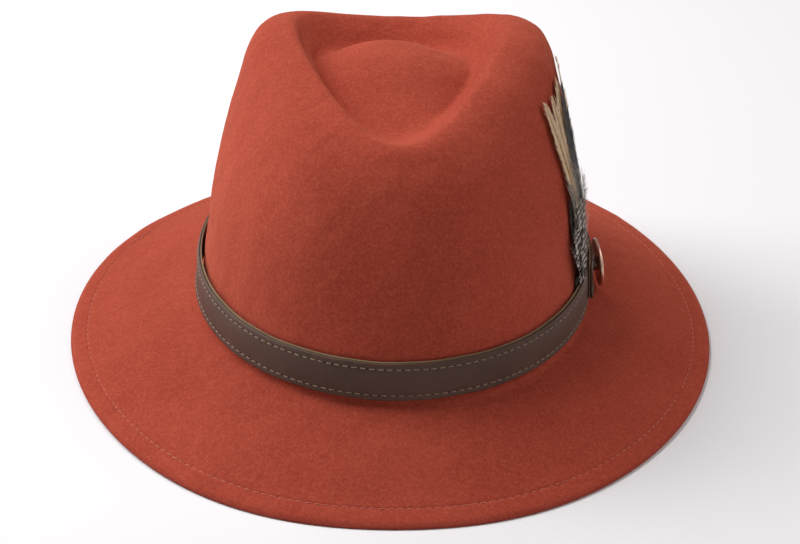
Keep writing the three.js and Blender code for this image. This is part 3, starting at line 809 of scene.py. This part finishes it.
def size_label():
    """A plain woven label sewn to the sweatband."""
    angle = np.radians(np.linspace(*LABEL_DEGREES, 24))
    rows = np.linspace(*LABEL_ROWS, 14)
    face_out = SWEATBAND_FACE - 0.75
    face = [off_felt(row, angle, face_out + 0.06 * np.sin(9 * angle + row)) for row in rows]
    back = [off_felt(row, angle, SWEATBAND_FACE - 0.5) for row in rows[::-1]]
    points = np.stack(face + back, 1)
    faces = capped_faces(*points.shape[:2])
    piece = add_piece("size_label_woven", points, faces, LABEL_LOOK, "hat", ["size_label"], "label")


sweatband()
sweatband_reed()
sweatband_stitches()
lining_wall()
lining_tip()
sweatband_bow()
size_label()


# ---------- the stud badge

BADGE_ANGLE = math.radians(2)
BADGE_TURN = math.radians(7)
BADGE_TILT = math.radians(6)
BADGE_RADIUS = 11.2
SCREW_RADIUS = 1.5
SCREW_OUT = 0.75     # the screw's head off the felt
STRAP_STACK = STRAP_GAP + STRAP_RIGHT_GAP + 2 * STRAP_FACE + AIR
WASHER_OUT = STRAP_STACK + 0.7
WASHER_THICK = 0.7
BADGE_OUT = WASHER_OUT + WASHER_THICK + AIR
BOSS_DEPTH = 2.4

BADGE_FLAT = math.cos(BADGE_TILT)
BADGE_NORMAL = np.array([
    BADGE_FLAT * math.cos(BADGE_TURN), BADGE_FLAT * math.sin(BADGE_TURN), math.sin(BADGE_TILT),
])


def lathe(name, profile, out, material, node, slot, softness=2):
    """A turned piece on the badge's axis: a closed run of (radius, height), with its corners eased."""
    run = np.array(profile, float)
    for _ in range(softness):
        after = np.roll(run, -1, 0)
        run = np.stack([run * 0.85 + after * 0.15, run * 0.15 + after * 0.85], 1).reshape(-1, 2)
    sideways = unit(np.cross([0, 0, 1], BADGE_NORMAL))
    upwards = np.cross(BADGE_NORMAL, sideways)
    turn = full_turn(96)[:, None, None]
    foot = felt_point(sum(STRAP_ROWS) / 2, BADGE_ANGLE) + BADGE_NORMAL * out
    radius, height = np.maximum(run[:, 0], 0.004)[None, :, None], run[:, 1][None, :, None]
    points = foot + BADGE_NORMAL * height + radius * (sideways * np.cos(turn) + upwards * np.sin(turn))
    faces = grid_faces(len(turn), len(run), wrap_rows=True, wrap_columns=True)
    add_piece(name, points, faces, material, "badge", [node], slot)


def badge():
    r, bore = BADGE_RADIUS, SCREW_RADIUS + AIR
    lathe("badge_disc_turned", [
        (0.01, BOSS_DEPTH), (bore, BOSS_DEPTH), (bore, 0), (3.4, 0), (3.6, 0.75), (r - 1.6, 0.6),
        (r - 0.9, 0.5), (r - 0.2, 0.6), (r, 1.0), (r, 1.5), (r - 0.3, 2.0), (r - 0.8, 2.15), (r - 1.5, 1.8),
        (r - 2.4, 2.0), (r * 0.62, 2.7), (r * 0.57, 2.9), (r * 0.52, 2.75), (r * 0.42, 3.05),
        (r * 0.38, 3.25), (r * 0.34, 3.15), (r * 0.2, 3.55), (0.01, 3.7),
    ], BADGE_OUT, BADGE_METAL, "badge_disc", "badge_metal")
    length = BADGE_OUT + BOSS_DEPTH - AIR - SCREW_OUT
    lathe("badge_screw_turned", [
        (0.01, 0.15), (0.5, 0.15), (0.6, 0), (2.6, 0), (2.8, 0.2), (2.8, 0.5), (SCREW_RADIUS, 0.5),
        (SCREW_RADIUS, length), (0.01, length),
    ], SCREW_OUT, SCREW_METAL, "badge_screw", "screw_metal", softness=1)
    lathe("badge_washer_turned", [
        (bore, 0), (4, 0), (4, WASHER_THICK), (bore, WASHER_THICK),
    ], WASHER_OUT, SCREW_METAL, "badge_washer", "screw_metal")


badge()


# ---------- the feather mount

FEATHER_FOOT = felt_point(4.25, math.radians(-22))   # where the mount is tucked in
FEATHER_LEAN = math.radians(24)
QUILL_END = 24.6                                     # where the feathers leave the wrapping
WALL_Y = np.arange(-62, 46, 1.0)                     # a grid of places on the wearer's left, 1 mm apart
WALL_Z = np.arange(24, 136, 1.0)
BARB_STEPS = np.linspace(0, 1, 7)                    # from a barb's root to its tip


def wall_grid():
    """x and normal of the crown over the grid, found by walking to each place."""
    y, z = np.meshgrid(WALL_Y, WALL_Z, indexing="ij")
    row, angle = np.full(y.shape, 5.0), np.zeros(y.shape)
    for _ in range(40):
        here = felt_point(row, angle)
        row = np.clip(row + (z - here[..., 2]) / 30, 3, 8.4)
        angle = np.clip(angle + (y - here[..., 1]) / 95, -1, 1)
    return np.concatenate([felt_point(row, angle)[..., :1], felt_normal(row, angle)], -1)


WALL = wall_grid()


def on_wall(up, across, out):
    """A point out from the crown's side, from its place up and across the feather mount."""
    y = FEATHER_FOOT[1] + up * math.sin(FEATHER_LEAN) - across * math.cos(FEATHER_LEAN)
    z = FEATHER_FOOT[2] + up * math.cos(FEATHER_LEAN) + across * math.sin(FEATHER_LEAN)
    i = np.clip(y - WALL_Y[0], 0, len(WALL_Y) - 1.001)
    j = np.clip(z - WALL_Z[0], 0, len(WALL_Z) - 1.001)
    i0, j0 = i.astype(int), j.astype(int)
    a, b = (i - i0)[..., None], (j - j0)[..., None]
    here = (WALL[i0, j0] * (1 - a) * (1 - b) + WALL[i0 + 1, j0] * a * (1 - b)
            + WALL[i0, j0 + 1] * (1 - a) * b + WALL[i0 + 1, j0 + 1] * a * b)
    point = np.stack([here[..., 0], y, z], -1)
    return point + unit(here[..., 1:]) * out[..., None]


def spline(points, share):
    """A smooth curve through the points, evenly spaced in its parameter."""
    points = np.array(points, float)
    padded = np.concatenate([[2 * points[0] - points[1]], points, [2 * points[-1] - points[-2]]])
    at = np.clip(share, 0, 1) * (len(points) - 1)
    index = np.minimum(at.astype(int), len(points) - 2)
    return catmull_rom(*(padded[index + step] for step in range(4)), (at - index)[..., None])


def barbs(stem, reach, out, spacing, sweep, loose, lift, wide=0.5, clump=9, curl=0.35, ragged=0.12):
    """Ribbons of one feather: (up, across, out) points, faces and uv. reach is the vane's half width, sweep
    the angle from the stem at its foot and at its tip, in degrees. loose parts the barbs in groups of about
    clump, lift raises their tips and ragged makes them uneven."""
    length = np.linalg.norm(np.diff(spline(stem, np.linspace(0, 1, 60)), axis=0), axis=1).sum()
    count = int(length / spacing)
    points, uv = [], []
    for side in (-1, 1):
        root = np.clip(np.linspace(0, 0.995, count) + rng.uniform(-0.3, 0.3, count) / count, 0, 1)
        group = np.cumsum(rng.random(count) < 1 / clump)
        split = rng.normal(0, 1, group.max() + 1)[group] * loose * 1.6 + rng.normal(0, 1, count) * loose * 0.5
        profile = np.sin(np.pi * (0.1 + 0.9 * root) ** 0.85) ** 0.6
        size = reach * np.maximum(profile, 0.12) * (1 + rng.normal(0, ragged, count))
        size *= 1 + 0.35 * rng.normal(0, ragged, group.max() + 1)[group]

        # Each barb's middle line bends from its opening angle towards the stem's direction.
        ahead = unit(spline(stem, root + 0.01) - spline(stem, root - 0.01))
        across = np.stack([-ahead[:, 1], ahead[:, 0]], 1) * side
        open_angle = np.radians(sweep[0] + (sweep[1] - sweep[0]) * root) * (1 + split)
        travel = size / np.maximum(np.sin(open_angle), 0.3)
        theta = open_angle[:, None] * (1 - curl * BARB_STEPS)
        move = np.cos(theta)[..., None] * ahead[:, None] + np.sin(theta)[..., None] * across[:, None]
        steps = (move[:, 1:] + move[:, :-1]) / 2 * (travel / (len(BARB_STEPS) - 1))[:, None, None]
        path = spline(stem, root)[:, None] + np.concatenate([np.zeros((count, 1, 2)), np.cumsum(steps, 1)], 1)

        half = wide / 2 * (1 - 0.8 * BARB_STEPS ** 2.5)
        edge = np.stack([-move[..., 1], move[..., 0]], -1) * half[:, None]
        rise = out + lift * BARB_STEPS ** 2 * rng.uniform(0.4, 1.2, count)[:, None]
        rise = rise + 0.12 * split[:, None] / loose * BARB_STEPS + rng.uniform(-0.05, 0.05, count)[:, None]
        both = np.stack([path + edge, path - edge], 2)
        shape = both.shape[:3]
        points.append(np.concatenate([both, np.broadcast_to(rise[..., None, None], shape + (1,))], -1))
        outwards = np.broadcast_to(BARB_STEPS[:, None], shape)
        uv.append(np.stack([outwards, np.broadcast_to(root[:, None, None], shape)], -1))
    points, uv = np.concatenate(points), np.concatenate(uv)
    first = 2 * len(BARB_STEPS) * np.arange(len(points))[:, None, None]
    along = 2 * np.arange(len(BARB_STEPS) - 1)[:, None]
    faces = (first + along + np.array([0, 1, 3, 2])).reshape(-1, 4).tolist()
    return points.reshape(-1, 3), faces, uv.reshape(-1, 2)


def shaft(stem, out, thick):
    """The feather's quill: a tapering tube in (up, across, out), marked by a uv of -0.5 outwards."""
    share = np.linspace(0, 0.97, 40)
    count = len(share)
    centre = np.concatenate([spline(stem, share), np.full((count, 1), out)], 1)
    ahead = unit(np.gradient(centre, axis=0))
    side = np.stack([-ahead[:, 1], ahead[:, 0], np.zeros(count)], 1)
    radius = thick / 2 * (1 - 0.8 * share)
    points = tubes(centre, np.broadcast_to([0, 0, 1.0], centre.shape), side, radius)
    shape = (count, TUBE_SIDES)
    uv = np.stack([np.full(shape, -0.5), np.broadcast_to(share[:, None], shape)], -1)
    return points.reshape(-1, 3), tube_faces(1, *shape), uv.reshape(-1, 2)


def feather(name, node, material, slot, plumes):
    """One piece made of plumes: (stem, reach, out, words), with the shaft's thickness and further words
    for barbs in words."""
    points, faces, uv, used = [], [], [], 0
    for stem, reach, out, (thick, words) in plumes:
        for part_points, part_faces, part_uv in (barbs(stem, reach, out, **words), shaft(stem, out, thick)):
            points.append(part_points)
            uv.append(part_uv)
            faces += [[corner + used for corner in face] for face in part_faces]
            used += len(part_points)
    points = on_wall(*np.concatenate(points).T)
    add_piece(name, points, faces, material, "feather", [node], slot, uv=np.concatenate(uv))


def feathers():
    hackle = 0.5, {"sweep": (46, 22), "spacing": 0.36, "loose": 0.07, "lift": 0.35, "wide": 0.6, "curl": 0.2}
    feather("feather_cream_back_vane", "feather_cream_back", CREAM_LOOK, "feather_cream", [
        ([(QUILL_END, -2), (44, -5), (80, -12), (116.5, -28.5)], 5.2, 1.3, hackle)])
    feather("feather_cream_middle_vane", "feather_cream_middle", CREAM_LOOK, "feather_cream", [
        ([(QUILL_END, 2), (44, 4.2), (80, -1), (107, -14)], 5.2, 1.6, hackle)])
    feather("feather_cream_front_vane", "feather_cream_front", CREAM_LOOK, "feather_cream", [
        ([(QUILL_END, 2.4), (44, 7), (70, 8.6), (96, 6.4)], 5, 2.2, hackle),
        ([(QUILL_END, 1), (44, 4.6), (72, 4.4), (99, -2)], 4.6, 1.8, hackle)])
    dark = 0.5, {"sweep": (46, 26), "spacing": 0.34, "loose": 0.05, "lift": 0.3, "curl": 0.2}
    feather("feather_dark_vane", "feather_dark_long", DARK_LOOK, "feather_dark", [
        ([(QUILL_END, -1), (44, -0.5), (74, -3), (105.5, -17)], 5.6, 2.5, dark),
        ([(QUILL_END, 5), (38, 11), (55, 13.5)], 3, 1.5, dark)])
    wisp = 0.35, {"sweep": (58, 34), "spacing": 0.5, "loose": 0.22, "lift": 1.4, "wide": 0.32, "clump": 3,
                  "curl": 0.1, "ragged": 0.3}
    feather("feather_grey_wisps", "feather_grey_fluff", GREY_LOOK, "feather_grey", [
        ([(26, 0), (46, 3), (70, 3)], 7, 2.9, wisp),
        ([(30, -2), (48, -4), (64, -8)], 6, 3.2, wisp),
        ([(28, 3), (46, 9), (62, 13)], 5, 2.7, wisp)])
    covert = 0.4, {"sweep": (56, 34), "spacing": 0.34, "loose": 0.14, "lift": 0.5, "wide": 0.48, "clump": 4,
                   "ragged": 0.25}
    feather("feather_speckled_long_vane", "feather_speckled_long", SPECKLED_LOOK, "feather_speckled", [
        ([(17.5, -0.5), (36, 0.5), (56, 3)], 5.6, 3.3, covert),
        ([(17.5, 2), (34, 6.5), (52, 10)], 5.4, 3.1, covert)])
    feather("feather_speckled_short_vane", "feather_speckled_short", SPECKLED_LOOK, "feather_speckled", [
        ([(17.5, 4), (30, 10), (43, 13)], 4.6, 3.4, covert),
        ([(17, 1), (27, 3.5), (39, 5.5)], 5.4, 3.9, covert)])


def eased(wave):
    """Turns a circle's sine or cosine into that of a square with round corners."""
    return np.sign(wave) * np.abs(wave) ** 0.45


def mount_piece(name, node, start, stop, half, near, far, ribs):
    """A flat strip of the mount up from its foot; ribs is how far each turn of a wrapping stands out."""
    up = np.linspace(start, stop, 28)[:, None]
    turn = full_turn(20)
    wrap = 1 + ribs * np.sin(up * FULL_TURN / 0.55)
    across = half * eased(np.cos(turn)) * wrap
    out = (near + far) / 2 + (far - near) / 2 * eased(np.sin(turn)) * wrap
    points = on_wall(np.broadcast_to(up, across.shape), across, out)
    add_piece(name, points, capped_faces(*points.shape[:2]), MOUNT_LOOK, "feather", [node], "mount_leather")


feathers()
mount_piece("feather_tab_leather", "feather_tab", 3, 20.4, 4.6, 0.54, 0.84, ribs=0)
mount_piece("feather_binding_wrap", "feather_binding", 21, 24.2, 4.5, 0.8, 4, ribs=0.03)


# ---------- floor, lights and camera

FLOOR_REACH = 6         # metres
FLOOR_CLEAR = 0.0002    # metres that the floor lies under the brim
LAMP_DISTANCE = 1.5     # metres from the origin


def floor():
    mesh = bpy.data.meshes.new("floor")
    corners = [(FLOOR_REACH * x, FLOOR_REACH * y, 0) for x, y in ((-1, -1), (1, -1), (1, 1), (-1, 1))]
    mesh.from_pydata(corners, [], [(0, 1, 2, 3)])
    look = Look("floor", roughness=0.9)
    look.set(Base_Color=(0.96, 0.96, 0.98, 1), Specular_IOR_Level=0.1)
    mesh.materials.append(look.material)
    piece = bpy.data.objects.new("floor", mesh)
    piece.location.z = -FLOOR_CLEAR
    bpy.context.collection.objects.link(piece)


def direction(azimuth, elevation):
    """From the hat; azimuth runs in radians from the front (0) towards +X, which is on the viewer's right."""
    flat = math.cos(elevation)
    return Vector((math.sin(azimuth) * flat, -math.cos(azimuth) * flat, math.sin(elevation)))


def softbox(name, azimuth, elevation, size, power, colour=(1, 1, 1)):
    """A lamp aimed at the hat from an azimuth and an elevation in degrees."""
    place = direction(math.radians(azimuth), math.radians(elevation))
    light = bpy.data.lights.new(name, "AREA")
    light.shape = "RECTANGLE"
    light.size, light.size_y = size
    light.energy = power
    light.color = colour
    lamp = bpy.data.objects.new(name, light)
    lamp.location = place * LAMP_DISTANCE
    lamp.rotation_euler = place.to_track_quat("Z", "Y").to_euler()
    bpy.context.collection.objects.link(lamp)


def world(strength):
    made = bpy.data.worlds.new("studio")
    made.use_nodes = True
    background = made.node_tree.nodes["Background"]
    background.inputs["Color"].default_value = (1, 1, 1, 1)
    background.inputs["Strength"].default_value = strength
    bpy.context.scene.world = made


# Angles in radians, the lens in millimetres and the rest in metres; the target is the point looked at.
CAMERA = {
    "azimuth": -0.020, "elevation": 0.545, "roll": 0.023, "distance": 1.15957, "lens": 112.64,
    "target_side": 0.0034, "target_height": 0.03014,
}


def camera():
    azimuth, roll = CAMERA["azimuth"], CAMERA["roll"]
    back = direction(azimuth, CAMERA["elevation"])
    right = Vector((math.cos(azimuth), math.sin(azimuth), 0))
    up = back.cross(right)
    tilted_right = right * math.cos(roll) + up * math.sin(roll)
    tilted_up = up * math.cos(roll) - right * math.sin(roll)
    target = right * CAMERA["target_side"] + Vector((0, 0, CAMERA["target_height"]))
    data = bpy.data.cameras.new("camera")
    data.sensor_width = 36
    data.lens = CAMERA["lens"]
    made = bpy.data.objects.new("camera", data)
    turn = Matrix((tilted_right, tilted_up, back)).transposed().to_4x4()
    made.matrix_world = Matrix.Translation(target + back * CAMERA["distance"]) @ turn
    bpy.context.collection.objects.link(made)
    bpy.context.scene.camera = made


floor()
world(0.02)
softbox("key", -105, 45, (0.8, 1.6), 23.2)
softbox("back", -150, 45, (0.8, 1.4), 7.3)
softbox("fill", 90, 45, (1, 1), 7, (1, 0.92, 0.9))
softbox("front", 30, 30, (0.8, 0.8), 1.6, (1, 0.92, 0.9))
camera()
bpy.context.scene.view_settings.view_transform = "Standard"
